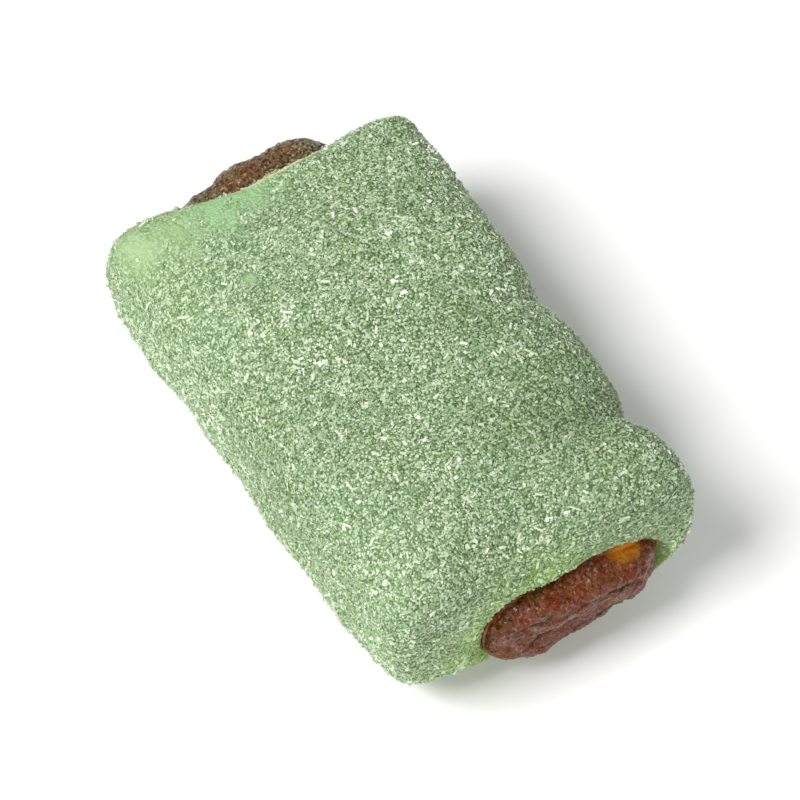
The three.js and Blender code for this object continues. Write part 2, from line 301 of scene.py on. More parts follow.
def normals(mesh):
    flat = np.empty(len(mesh.vertices) * 3)
    mesh.vertex_normals.foreach_get("vector", flat)
    return flat.reshape(-1, 3)


def paint(mesh, name, values):
    """Keeps one number for each vertex, for the materials to read."""
    layer = mesh.attributes.new(name, "FLOAT", "POINT")
    layer.data.foreach_set("value", np.ascontiguousarray(values, dtype=np.float32))


def object_of(name, mesh, material, smooth=True):
    """Links a finished mesh, in millimetres in the roll's own place, as a piece."""
    set_coordinates(mesh, (coordinates(mesh) + SHIFT) * MM)
    mesh.polygons.foreach_set("use_smooth", [smooth] * len(mesh.polygons))
    mesh.materials.append(material)
    piece = bpy.data.objects.new(name, mesh)
    bpy.context.scene.collection.objects.link(piece)
    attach(piece, "root")
    return piece


def mesh_of(bm, name):
    """Makes a mesh of a finished bmesh, and frees it."""
    mesh = bpy.data.meshes.new(name)
    bm.to_mesh(mesh)
    bm.free()
    return mesh


def sort_faces(bm):
    """Puts the faces in one fixed order, because an operator may leave them in any."""
    bm.verts.index_update()
    most = 4 * len(bm.verts)

    def order(face):
        corners = [vert.index for vert in face.verts]
        return min(corners) * most + sum(corners)

    bm.faces.sort(key=order)


def outward(mesh):
    """Turns the faces of a closed mesh outwards."""
    bm = bmesh.new()
    bm.from_mesh(mesh)
    bmesh.ops.recalc_face_normals(bm, faces=bm.faces)
    bm.to_mesh(mesh)
    bm.free()
    mesh.update()
    return mesh


def pulled(mesh, stations, index, angle):
    """Pulls each vertex to its station, at its own angle. A station is a function from angles
    to points."""
    points = np.empty((len(index), 3))
    for number, station in enumerate(stations):
        chosen = index == number
        points[chosen] = station(angle[chosen])
    set_coordinates(mesh, points)
    return outward(mesh)


def spun_ring(name, stations, around):
    """A ring of circles, whose every circle is then pulled to where the stations say.

    Each vertex finds its own station by how far it lies round the small circle, and its angle
    by how far it lies round the ring."""
    count = len(stations)
    bm = bmesh.new()
    bmesh.ops.create_circle(bm, segments=count, radius=1.0)
    bmesh.ops.rotate(bm, verts=bm.verts, matrix=Matrix.Rotation(math.pi / 2, 3, "X"))
    bmesh.ops.translate(bm, verts=bm.verts, vec=(RING_REACH, 0.0, 0.0))
    bmesh.ops.spin(
        bm,
        geom=bm.verts[:] + bm.edges[:],
        cent=(0.0, 0.0, 0.0),
        axis=(0.0, 0.0, 1.0),
        angle=2.0 * math.pi,
        steps=around,
        use_merge=True,
    )
    sort_faces(bm)
    mesh = mesh_of(bm, name)
    raw = coordinates(mesh)
    angle = np.arctan2(raw[:, 1], raw[:, 0])
    turn = np.arctan2(raw[:, 2], np.hypot(raw[:, 0], raw[:, 1]) - RING_REACH)
    index = np.rint(turn / (2.0 * math.pi) * count).astype(int) % count
    return pulled(mesh, stations, index, angle)


def globe(name, stations, around):
    """A ball whose poles and parallels are pulled to the stations, first pole first."""
    last = len(stations) - 1
    bm = bmesh.new()
    bmesh.ops.create_uvsphere(bm, u_segments=around, v_segments=last, radius=1.0)
    sort_faces(bm)
    mesh = mesh_of(bm, name)
    raw = coordinates(mesh)
    angle = np.arctan2(raw[:, 1], raw[:, 0])
    index = np.rint(np.arccos(np.clip(-raw[:, 2], -1.0, 1.0)) / math.pi * last).astype(int)
    return pulled(mesh, stations, index, angle)


def fractal(points, size, octaves, seed):
    """Soft noise of about -1 to 1 whose largest features measure size millimetres."""
    offset = Vector([seed * step for step in SEED_STEP])
    return np.array([
        noise.fractal(Vector(point) / size + offset, FRACTAL_INCREMENT, LACUNARITY, octaves)
        for point in points
    ])


def blotches(points, usual, swing, size, octaves, seed, most=1.0):
    """A share that wanders round its usual value, kept from 0 to most."""
    return np.clip(usual + swing * fractal(points, size, octaves, seed), 0.0, most)


# ----------------------------------------------------------------------------- the shaders
MIX_COLOR_OUTPUT = 2  # the Mix node's colour output comes after those for numbers and vectors
DUST_SIZE = 0.26  # of the bits of coconut that are too fine to model


class Value:
    """A node's output; arithmetic on it adds Math nodes to the same material."""

    def __init__(self, finish, socket):
        self.finish = finish
        self.socket = socket

    def math(self, operation, *inputs):
        """A Math node on two inputs."""
        return self.finish.node("ShaderNodeMath", {"operation": operation}, inputs)

    def __add__(self, other):
        return self.math("ADD", self, other)

    def __sub__(self, other):
        return self.math("SUBTRACT", self, other)

    def __rsub__(self, other):
        return self.math("SUBTRACT", other, self)

    def __mul__(self, other):
        return self.math("MULTIPLY", self, other)

    __radd__ = __add__
    __rmul__ = __mul__

    def clipped(self, low, high):
        """0 below low, 1 above high and smooth between them; turned round if low is over high."""
        settings = {"interpolation_type": "SMOOTHSTEP"}
        sockets = {"Value": self, "From Min": low, "From Max": high}
        return self.finish.node("ShaderNodeMapRange", settings, sockets)


class Finish:
    """A material in the making."""

    def __init__(self, name):
        self.material = bpy.data.materials.new(name)
        self.material.use_nodes = True
        self.tree = self.material.node_tree
        self.tree.nodes.clear()
        self.place = self.node("ShaderNodeTexCoord", {}, {}, "Object")

    def add(self, kind, settings, sockets):
        """Adds a node: first its settings, then the values or links of its sockets."""
        node = self.tree.nodes.new(kind)
        for key, setting in settings.items():
            setattr(node, key, setting)
        items = sockets.items() if isinstance(sockets, dict) else enumerate(sockets)
        for key, value in items:
            socket = self.input_of(node, key)
            if isinstance(value, Value):
                self.tree.links.new(value.socket, socket)
            else:
                socket.default_value = value
        return node

    def node(self, kind, settings, sockets, output=0):
        """One output of a new node, to go on working with."""
        return Value(self, self.add(kind, settings, sockets).outputs[output])

    def input_of(self, node, key):
        """A socket by its name or number; of several with one name, the one in use."""
        if isinstance(key, int):
            return node.inputs[key]
        named = [socket for socket in node.inputs if socket.name == key and socket.enabled]
        return named[0]

    def noise(self, size, detail, roughness=0.5):
        """Noise from 0 to 1 whose features measure about size millimetres."""
        sockets = {
            "Vector": self.place,
            "Scale": 1.0 / (size * MM),
            "Detail": detail,
            "Roughness": roughness,
        }
        return self.node("ShaderNodeTexNoise", {}, sockets, "Fac")

    def cells(self, size, output="Distance"):
        """Cells of about size millimetres: how far from a cell's middle, or its own colour."""
        sockets = {"Vector": self.place, "Scale": 1.0 / (size * MM)}
        return self.node("ShaderNodeTexVoronoi", {}, sockets, output)

    def painted(self, name):
        """A number that the mesh keeps for each vertex."""
        return self.node("ShaderNodeAttribute", {"attribute_name": name}, {}, "Fac")

    def mix(self, share, first, second):
        """A colour between two: share 0 is the first, 1 the second."""
        settings = {"data_type": "RGBA"}
        sockets = {"Factor": share, "A": first, "B": second}
        return self.node("ShaderNodeMix", settings, sockets, MIX_COLOR_OUTPUT)

    def bump(self, height, distance, strength, normal=None):
        """Relief up to distance millimetres high, on top of another normal if one is given."""
        sockets = {"Height": height, "Distance": distance * MM, "Strength": strength}
        if normal is not None:
            sockets["Normal"] = normal
        return self.node("ShaderNodeBump", {}, sockets, "Normal")

    def surface(self, **sockets):
        """Ends the material in one Principled shader; underscores stand for spaces."""
        named = {key.replace("_", " "): value for key, value in sockets.items()}
        shader = self.node("ShaderNodeBsdfPrincipled", {}, named, "BSDF")
        self.add("ShaderNodeOutputMaterial", {}, {"Surface": shader})
        return self.material


def srgb(red, green, blue):
    """A colour from 0 to 255 as it looks on a screen, as linear light."""

    def linear(value):
        value = value / 255.0
        return value / 12.92 if value <= 0.04045 else ((value + 0.055) / 1.055) ** 2.4

    return (linear(red), linear(green), linear(blue), 1.0)


def dough_finish():
    """Soft rice dough under a film of starch and a dust of coconut too fine to model."""
    finish = Finish("rice_dough")
    leaf = srgb(114, 141, 88)
    mint = srgb(122, 151, 106)
    # dark green, used for darker blotches and for painted shade between grains and on shaded
    # patches
    dark_and_shade = srgb(56, 80, 40)
    moss = srgb(112, 150, 62)
    olive = srgb(140, 146, 52)
    powder = srgb(204, 222, 186)
    starch = srgb(148, 177, 122)
    lime = srgb(148, 188, 84)
    fresh = srgb(146, 190, 134)
    cream = srgb(222, 204, 164)
    coat = finish.painted("coat")
    color = finish.mix(finish.noise(9.0, 3.0).clipped(0.38, 0.62), leaf, mint)
    # darker green in soft blotches where the noise is low
    color = finish.mix(finish.noise(1.6, 3.0).clipped(0.5, 0.3) * 0.4, color, dark_and_shade)
    color = finish.mix(finish.painted("smooth"), color, starch)
    color = finish.mix(finish.painted("minty"), color, fresh)
    grains = finish.cells(DUST_SIZE)
    grain_shade = finish.cells(DUST_SIZE, output="Color").clipped(0.35, 0.8)
    color = finish.mix(grain_shade * (0.1 + 0.75 * coat), color, powder)
    # painted shade in the gaps between the fine grains of coconut dust
    gap_shade = grains.clipped(0.46, 0.72)
    color = finish.mix(gap_shade * 0.9 * coat * (1.0 - 0.4 * finish.painted("film")), color, dark_and_shade)
    color = finish.mix(finish.painted("stain") * 0.4, color, moss)
    # painted shade: the dough darker on the wide shaded patches
    color = finish.mix(finish.painted("painted_shade") * 0.6, color, dark_and_shade)
    color = finish.mix(finish.painted("green") * 0.45, color, lime)
    color = finish.mix(finish.painted("syrupy") * 0.8, color, olive)
    color = finish.mix(finish.painted("pale_rim"), color, cream)
    roughness = 0.6 + grain_shade * 0.25 - finish.painted("syrupy") * 0.25
    dusty = finish.bump(1.0 - grains, 0.10, 0.8)
    normal = finish.bump(finish.noise(0.6, 3.0, 0.6), 0.12, 0.7, dusty)
    return finish.surface(
        Base_Color=color,
        Roughness=roughness,
        Normal=normal,
        Subsurface_Weight=0.15,
        Subsurface_Radius=(0.9, 1.0, 0.5),
        Subsurface_Scale=0.5 * MM,
        Coat_Weight=0.05,
        Coat_Roughness=0.4,
    )


def coconut_finish(name):
    """Dried coconut: creamy white tinged with the dough's green, each piece its own shade."""
    finish = Finish(name)
    pale = srgb(236, 248, 222)
    shade = srgb(132, 160, 112)
    fibre = srgb(112, 140, 90)
    shaded_coconut = srgb(104, 132, 78)
    filmed = srgb(146, 176, 118)
    lime = srgb(174, 212, 118)
    color = finish.mix(finish.painted("tone"), shade, pale)
    color = finish.mix(finish.noise(0.14, 2.0).clipped(0.48, 0.56) * 0.35, color, fibre)
    # painted shade: the coconut darker and greener on the wide shaded patches
    color = finish.mix(finish.painted("painted_shade") * 0.7, color, shaded_coconut)
    color = finish.mix(finish.painted("film") * 0.4, color, filmed)
    color = finish.mix(finish.painted("green") * 0.5, color, lime)
    return finish.surface(
        Base_Color=color,
        Roughness=0.6,
        Normal=finish.bump(finish.noise(0.25, 2.0), 0.03, 0.6),
        Subsurface_Weight=0.25,
        Subsurface_Radius=(1.0, 1.0, 0.8),
        Subsurface_Scale=0.3 * MM,
    )


def paste_color(finish):
    """Red-brown with pale husks that also stand in for painted glints, painted shade in the
    folds, and amber where the paste thins to clear jelly.
    """
    brown = srgb(106, 56, 16)
    red = srgb(113, 46, 12)
    dark = srgb(46, 17, 4)
    dry = srgb(104, 100, 66)
    # pale husks in the paste; their bright flecks also stand in for painted glints of the wet
    # paste
    husk_glint = srgb(206, 154, 116)
    dry_husk_glint = srgb(196, 186, 152)
    amber = srgb(192, 116, 12)
    color = finish.mix(finish.noise(2.4, 4.0).clipped(0.42, 0.60), brown, red)
    color = finish.mix(finish.painted("dry"), color, dry)
    # where the husk flecks, and the painted glints they stand in for, show
    husk_glints = finish.noise(0.4, 2.0, 0.6).clipped(0.57, 0.63)
    husk_glint_color = finish.mix(finish.painted("dry"), husk_glint, dry_husk_glint)
    color = finish.mix(husk_glints * (0.28 + 0.4 * finish.painted("dry")), color, husk_glint_color)
    specks = finish.noise(0.5, 3.0, 0.7).clipped(0.50, 0.56)
    color = finish.mix(specks * (0.65 + 0.3 * finish.painted("dry")), color, dark)
    # painted shade darkening the folds
    color = finish.mix(finish.painted("fold_shade") * 0.85, color, dark)
    return finish.mix(finish.painted("amber"), color, amber)


def paste_finish():
    """Sweet bean paste: gritty, wet and glossy."""
    finish = Finish("bean_paste")
    granules = finish.bump(1.0 - finish.cells(0.45), 0.16, 0.8)
    normal = finish.bump(finish.noise(0.36, 3.0, 0.6), 0.16, 0.85, granules)
    wet = finish.noise(0.9, 2.0).clipped(0.42, 0.58) * finish.painted("wet")
    return finish.surface(
        Base_Color=paste_color(finish),
        Roughness=0.12 + finish.noise(1.5, 2.0) * 0.12,
        Normal=normal,
        Specular_IOR_Level=0.16,
        Subsurface_Weight=0.15,
        Subsurface_Radius=(1.2, 0.4, 0.15),
        Subsurface_Scale=1.0 * MM,
        Coat_Weight=0.06 + wet * 0.45,
        Coat_Roughness=0.10,
    )


def syrup_finish():
    """Clear jelly that has seeped out round the paste: amber where thick, else red-brown."""
    finish = Finish("amber_syrup")
    return finish.surface(
        Base_Color=paste_color(finish),
        Roughness=0.25,
        Normal=finish.bump(finish.noise(0.6, 3.0), 0.12, 0.7),
        Specular_IOR_Level=0.2,
        Subsurface_Weight=0.4,
        Subsurface_Radius=(1.5, 0.7, 0.15),
        Subsurface_Scale=1.0 * MM,
        Coat_Weight=0.1,
        Coat_Roughness=0.08,
    )


# --------------------------------------------------------------------------- the dough body
DOUGH_AROUND = 360
SKIN_STEP = 0.36
EDGE_RINGS = 16
FACE_RINGS = 20
CHANNEL_RINGS = 8
COARSE_RELIEF = 0.16
FINE_RELIEF = 0.09
RELIEF_FROM = 0.4  # the relief starts this far outside the paste

# places where little coconut sticks: x, y, z and size of each, and how minty its green is
BARE_PATCHES = (
    (-27.0, -17.7, 22.5, 3.6, 0.0),
    (-26.6, -13.0, 24.0, 3.0, 0.2),
    (-26.6, -8.0, 24.0, 3.6, 0.9),
    (-27.0, -3.5, 24.0, 2.9, 0.9),
    (-22.6, -13.2, 24.5, 1.2, 0.0),
    (-15.6, -9.9, 25.5, 0.8, 0.0),
)

# wide places where painted shade makes the coat darker and greener: x, y, z, size and how strong
# the shade is
SHADE_PATCHES = (
    (6.0, -20.5, 19.0, 11.0, 0.35),
    (16.0, 11.0, 22.0, 10.0, 0.68),
    (24.0, 12.0, 20.0, 8.0, 0.60),
    (6.0, 8.0, 24.0, 7.0, 0.30),
)

# wide places where a film of starch softens the coat: x, y, z, size and how thick it is
FILM_PATCHES = (
    (-23.0, -13.0, 23.0, 13.0, 0.85),
    (21.0, -13.0, 19.0, 9.0, 0.6),
)


def dough_stations():
    """The stations of the dough's tube: round the skin, the faces and the channel."""

    def skin(share):
        def station(angle):
            facing = facing_angle((share - 0.5) * LENGTH, angle)
            start = skin_end(-1, facing)
            x = start + (skin_end(1, facing) - start) * share
            return skin_point(x, facing, 0.0)

        return station

    def edge(side, turn):
        return lambda angle: edge_point(side, turn, facing_angle(side * LENGTH / 2, angle))

    def face(side, inward):
        return lambda angle: face_point(side, inward, angle)

    def channel(x):
        return lambda angle: paste_point(x, angle, 1.0, GAP)

    def end(side):
        edges = [edge(side, turn) for turn in np.linspace(0, math.pi / 2, EDGE_RINGS + 1)[1:]]
        faces = [face(side, inward) for inward in np.linspace(0, 1, FACE_RINGS + 1)[1:]]
        return edges + faces

    half_channel = LENGTH / 2 - max(FACE_DIP) - PASTE_ROOT
    stations = end(-1)[::-1]
    stations += [skin(share) for share in np.linspace(0, 1, round(LENGTH / SKIN_STEP))]
    stations += end(1)
    stations += [channel(x) for x in np.linspace(half_channel, -half_channel, CHANNEL_RINGS)]
    return stations


def away_from(points, *place):
    """How far points lie from a place."""
    return np.linalg.norm(points - np.array(place), axis=1)


def smooth_at(points):
    """1 on the few smooth patches where the dough shows, fading to 0 round them, and how
    minty each of them is."""
    patch = np.zeros(len(points))
    minty = np.zeros(len(points))
    for x, y, z, size, mint in BARE_PATCHES:
        share = 1.0 - smoothstep(away_from(points, x, y, z), 0.2 * size, 1.8 * size)
        patch = np.maximum(patch, share)
        minty = np.maximum(minty, share * mint)
    near = patch > 0.0
    patchy = blotches(points[near], 0.85, 0.5, size=1.3, octaves=3, seed=12)
    patch[near] *= patchy
    minty[near] *= patchy
    return patch, minty


def coat_at(points):
    """How thickly the coconut lies, from 0, bare, to 1: thin at the mouths and on the smooth
    patches."""
    beyond = beyond_mouth(points)
    coat = smoothstep(beyond, 0.1, 0.9) * (1.0 - 0.9 * pale_rim_at(points))
    return coat * (1.0 - 0.95 * smooth_at(points)[0])


def stain_at(points):
    """How deeply the syrup has soaked the dough: strong at the mouths, gone 4 mm out."""
    at_end = smoothstep(np.abs(points[:, 0]), LENGTH / 2 - 5.0, LENGTH / 2 - 0.5)
    return at_end * (1.0 - smoothstep(beyond_mouth(points), 0.2, 4.2))


def patches_at(points, patches):
    """How strongly soft round patches reach each point, from 0 to 1."""
    strength = np.zeros(len(points))
    for x, y, z, size, share in patches:
        away = away_from(points, x, y, z) / size
        strength = np.maximum(strength, share * np.exp(-(away**2)))
    return strength


def green_at(points):
    """How much greener the dough round the near mouth is, and the coconut on it."""
    at_end = smoothstep(points[:, 0], LENGTH / 2 - 11.0, LENGTH / 2 - 2.0)
    aside = from_paste(points)[0] / PASTE_HALF_WIDTH
    green = at_end * (1.0 - smoothstep(beyond_mouth(points), 1.0, 10.0))
    green = green * (1.0 - 0.75 * smoothstep(aside, -0.6, 0.5))
    found = green > 0.0
    green[found] *= blotches(points[found], 0.9, 0.8, size=1.8, octaves=2, seed=13, most=1.3)
    return green


def pale_rim_at(points):
    """1 along the upper edge of the far end, over its paste, where the coconut is worn off."""
    angle = np.arctan2(points[:, 2] - CORE, points[:, 1])
    out = smoothstep(-points[:, 0] - end_reach(-1, angle), LENGTH / 2 - 0.9, LENGTH / 2 - 0.35)
    depth = skin_radius(points[:, 0], angle) - np.hypot(points[:, 1], points[:, 2] - CORE)
    out = out * (1.0 - smoothstep(depth, 0.7, 1.5))
    aside = np.abs(from_paste(points)[0]) / PASTE_HALF_WIDTH
    over = (beyond_mouth(points) > 0.0) * (1.0 - smoothstep(aside, 0.85, 1.1))
    return out * over * smoothstep(points[:, 2], 16.0, 18.0)


def make_dough():
    """The roll's body, with what its material reads painted on it."""
    mesh = spun_ring("dough_body", dough_stations(), DOUGH_AROUND)
    points = coordinates(mesh)
    outside = beyond_mouth(points) > RELIEF_FROM
    coarse = np.zeros(len(points))
    fine = np.zeros(len(points))
    coarse[outside] = fractal(points[outside], size=3.0, octaves=2, seed=1)
    fine[outside] = fractal(points[outside], size=0.9, octaves=2, seed=2)
    points = points + normals(mesh) * (COARSE_RELIEF * coarse + FINE_RELIEF * fine)[:, None]
    points[:, 2] = np.maximum(points[:, 2], UNDERSIDE)
    set_coordinates(mesh, points)
    patchy = fractal(points, size=2.5, octaves=3, seed=5)
    stain = np.clip(stain_at(points) * (1.0 + 0.8 * patchy), 0.0, 1.0)
    near_rim = 1.0 - smoothstep(beyond_mouth(points), 0.0, 1.2)
    smooth, minty = smooth_at(points)
    paint(mesh, "coat", coat_at(points))
    paint(mesh, "smooth", smooth)
    paint(mesh, "minty", minty)
    paint(mesh, "stain", stain)
    paint(mesh, "green", green_at(points))
    # how strongly the painted shade of the wide patches lies on the dough
    paint(mesh, "painted_shade", patches_at(points, SHADE_PATCHES))
    paint(mesh, "film", patches_at(points, FILM_PATCHES))
    paint(mesh, "syrupy", np.clip(near_rim * (0.8 + patchy), 0.0, 1.0))
    paint(mesh, "pale_rim", np.clip(pale_rim_at(points) * (0.8 + 1.4 * patchy), 0.0, 1.0))
    piece = object_of("dough_body", mesh, dough_finish())
    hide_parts("dough")
    return piece


# ------------------------------------------------------------------------------- the paste
PASTE_AROUND = 320
CAP_RINGS = 80
STRIP_RINGS = 4
FAR_DRYNESS = 0.85  # the paste is drier and duller at the far end
FAR_WETNESS = 0.3  # against 1 at the near end
BROAD_RELIEF = 0.40
MIDDLE_RELIEF = 0.18
GRIT_RELIEF = 0.16
AMBER_AT = (0.72, 0.84)  # middle of the amber place, in half widths and half heights
AMBER_REACH = (0.10, 0.28)  # full up to the first, and gone at the second
# folds pressed into its two ends: side, from y and z, to y and z, depth and width
PASTE_FOLDS = (
    (1, -7.5, -0.5, 1.0, 0.6, 0.70, 0.55),
    (1, -2.0, -2.6, 6.5, -1.0, 0.45, 0.50),
    (1, 1.5, 2.6, 8.0, 1.6, 0.45, 0.45),
    (1, -8.5, 2.4, -3.0, 3.6, 0.35, 0.45),
    (1, 5.6, -3.4, 7.0, 0.8, 0.35, 0.40),
    (-1, -8.0, 1.5, -1.0, 3.0, 0.50, 0.50),
    (-1, 0.5, 1.0, 7.5, 2.8, 0.50, 0.50),
    (-1, -5.0, -2.2, 4.0, -1.2, 0.55, 0.55),
    (-1, -1.2, 3.8, 1.2, 0.6, 0.35, 0.40),
)


def paste_stations():
    """Caps at both ends and the plain strip between them, from one pole to the other."""

    def cap(side, rise):
        def station(angle):
            swell = PASTE_SWELL[0] if side > 0 else PASTE_SWELL[1]
            spread = abs(math.cos(rise * math.pi / 2)) ** PASTE_BLUNTNESS
            reach = (swell + PASTE_ROOT) * math.sin(rise * math.pi / 2) ** PASTE_BLUNTNESS
            point = paste_point(side * (LENGTH / 2 - PASTE_ROOT + reach), angle, spread, 0.0)
            fade = smoothstep(rise, 0.0, PASTE_RELIEF_FADE)
            for size, across, up, phase in PASTE_RELIEF:
                wave = np.sin(across * point[:, 1] + up * point[:, 2] + phase)
                point[:, 0] += side * size * fade * wave
            return point

        return station

    def strip(x):
        return lambda angle: paste_point(x, angle, 1.0, 0.0)

    rises = np.linspace(0, 1, CAP_RINGS)
    half_strip = LENGTH / 2 - PASTE_ROOT
    stations = [cap(-1, rise) for rise in rises[::-1]]
    between = np.linspace(-half_strip, half_strip, STRIP_RINGS + 2)[1:-1]
    stations += [strip(x) for x in between]
    stations += [cap(1, rise) for rise in rises]
    return stations


def paste_folds(points):
    """How strongly the painted shade of a fold reaches each point of the paste, and how deep
    the folds press it in.
    """
    y, z = from_paste(points)
    wobble_y = 0.9 * fractal(points, size=2.5, octaves=2, seed=6)
    wobble_z = 0.9 * fractal(points, size=2.5, octaves=2, seed=7)
    place = np.stack([y + wobble_y, z + wobble_z], 1)
    fold_shade = np.zeros(len(points))
    press = np.zeros(len(points))
    for side, y_from, z_from, y_to, z_to, depth, width in PASTE_FOLDS:
        start = np.array([y_from, z_from])
        run = np.array([y_to, z_to]) - start
        share = np.clip((place - start) @ run / (run @ run), 0.0, 1.0)
        away = np.linalg.norm(place - start - share[:, None] * run, axis=1)
        taper = np.sqrt(np.clip(4.0 * share * (1.0 - share), 0.0, 1.0))
        taper = taper * (side * points[:, 0] > 0)
        fold_shade = np.maximum(fold_shade, taper * np.exp(-((away / (0.6 * width)) ** 2)))
        press = np.maximum(press, depth * taper * np.exp(-away / width))
    return fold_shade, press


def make_paste():
    """The strip of paste, folded and gritty where it swells out of the two mouths."""
    mesh = globe("paste", paste_stations(), PASTE_AROUND)
    points = coordinates(mesh)
    y, z = paste_middle(points[:, 0])
    at_end = smoothstep(np.abs(points[:, 0]), LENGTH / 2 - PASTE_ROOT, LENGTH / 2 + 1.2)
    fold_shade, press = paste_folds(points)
    broad = fractal(points, size=4.5, octaves=2, seed=8)
    middle = fractal(points, size=1.6, octaves=2, seed=4)
    grit = fractal(points, size=0.60, octaves=2, seed=3)
    grit = grit * smoothstep(np.abs(points[:, 0]), LENGTH / 2 + 0.2, LENGTH / 2 + 2.0)
    move = BROAD_RELIEF * broad + MIDDLE_RELIEF * middle + GRIT_RELIEF * grit - press
    points = points + normals(mesh) * (at_end * move)[:, None]
    set_coordinates(mesh, points)
    upward = (points[:, 2] - z) / PASTE_HALF_HEIGHT
    sideways = (points[:, 1] - y) / PASTE_HALF_WIDTH
    from_amber = np.hypot(sideways - AMBER_AT[0], upward - AMBER_AT[1]) + 0.10 * middle
    at_seam = 1.0 - smoothstep(points[:, 0], LENGTH / 2 + 1.4, LENGTH / 2 + 3.0)
    near = points[:, 0] > 0
    amber = (1.0 - smoothstep(from_amber, *AMBER_REACH)) * at_seam * near
    dry = FAR_DRYNESS * (points[:, 0] < 0) * (0.55 + 0.7 * np.abs(sideways) + 0.5 * broad)
    wet = smoothstep(upward, -0.3, 0.4) * np.where(near, 1.0, FAR_WETNESS)
    paint(mesh, "dry", np.clip(dry, 0.0, 1.0))
    paint(mesh, "wet", wet)
    # the folds' painted shade, only where the paste swells out
    paint(mesh, "fold_shade", fold_shade * at_end)
    paint(mesh, "amber", amber)
    piece = object_of("paste", mesh, paste_finish())
    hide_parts("filling")


# ----------------------------------------------------------------------------- the coconut
SMALL_BIAS = 1.5  # over 1, small pieces are more common than large ones
TONE_BIAS = 1.3  # over 1, few pieces are as pale as the palest
TONE_CLUMPS = 0.7  # how much paler or darker whole clumps are
COAT_POWER = 1.9  # over 1, coconut is rarer still where the coat is thin
UNDERSIDE_SHARE = 0.35  # of the coat lies under the roll
UNDERSIDE_BAND = 0.1  # what lies less than this above the underside counts as under it


class Kind(NamedTuple):
    """One kind of coconut."""

    shape: Callable
    tries: int  # how many are drawn, before the coat is thinned
    small: tuple  # its smallest length, width and thickness
    large: tuple
    tilt: float  # how far it leans from lying flat
    lift: float  # how far its middle stands out of the dough, in thicknesses
    ragged: float  # how far its corners stray
    bend: float = 0.0


def surface_samples(mesh, count, random, chance):
    """Random places spread evenly over a mesh's area, then thinned to their chance.

    Gives the points and the normals there, with the mesh still in millimetres. The triangles
    are sorted, so that the same draws give the same places each time."""
    mesh.calc_loop_triangles()
    corners = np.empty(len(mesh.loop_triangles) * 3, dtype=np.int64)
    mesh.loop_triangles.foreach_get("vertices", corners)
    corners = np.unique(np.sort(corners.reshape(-1, 3), axis=1), axis=0)
    points = coordinates(mesh)
    a, b, c = (points[corners[:, number]] for number in range(3))
    area = np.linalg.norm(np.cross(b - a, c - a), axis=1)
    chosen = corners[random.choice(len(area), count, p=area / area.sum())]
    first = np.sqrt(random.random(count))[:, None]
    second = random.random(count)[:, None]
    weights = (1 - first, first * (1 - second), first * second)

    def blended(values):
        return sum(weight * values[chosen[:, number]] for number, weight in enumerate(weights))

    spots = blended(points)
    facing = blended(normals(mesh))
    facing /= np.linalg.norm(facing, axis=1)[:, None]
    kept = random.random(count) < chance(spots)
    return spots[kept], facing[kept]


def template(make):
    """The points and triangles of a small shape of size 1, made by bmesh operators."""
    bm = bmesh.new()
    make(bm)
    bmesh.ops.triangulate(bm, faces=bm.faces)
    bm.verts.ensure_lookup_table()
    points = np.array([vert.co for vert in bm.verts])
    triangles = np.array([[vert.index for vert in face.verts] for face in bm.faces])
    bm.free()
    return points, triangles


def shred_shape(bm):
    """A bar, cut across in two places so that it can bend."""
    bmesh.ops.create_cube(bm, size=1.0)
    long_edges = [
        edge for edge in bm.edges
        if abs((edge.verts[0].co - edge.verts[1].co).x) > 0.5
    ]
    bmesh.ops.subdivide_edges(bm, edges=long_edges, cuts=2)


def fleck_shape(bm):
    """A block, which its size makes a flat fleck."""
    bmesh.ops.create_cube(bm, size=1.0)


def chip_shape(bm):
    """A three-sided sliver that lies along X."""
    bmesh.ops.create_cone(bm, cap_ends=True, segments=3, radius1=0.6, radius2=0.45, depth=1.0)
    turn = Matrix.Rotation(math.pi / 2, 3, "Y")
    bmesh.ops.rotate(bm, verts=bm.verts, cent=(0.0, 0.0, 0.0), matrix=turn)


def grain_shape(bm):
    """A grain with eight faces."""
    bmesh.ops.create_uvsphere(bm, u_segments=4, v_segments=2, radius=0.5)


def crumb_shape(bm):
    """The smallest bits need only four faces."""
    bmesh.ops.create_cone(bm, cap_ends=True, segments=3, radius1=0.6, radius2=0.0, depth=1.0)


def sizes_between(random, count, small, large):
    """Lengths, widths and thicknesses drawn between two sizes, long and thin ones too."""
    small = np.array(small)
    large = np.array(large)
    return small + (large - small) * random.random((count, 3)) ** SMALL_BIAS


def axes_on(facing, tilt, random):
    """Each piece's own axes: Z about along the skin's normal, X and Y turned at random."""
    axis_z = facing + random.normal(0.0, tilt, facing.shape)
    axis_z /= np.linalg.norm(axis_z, axis=1)[:, None]
    axis_x = np.cross(axis_z, random.normal(0.0, 1.0, facing.shape))
    axis_x /= np.linalg.norm(axis_x, axis=1)[:, None]
    return np.stack([axis_x, np.cross(axis_z, axis_x), axis_z], 1)


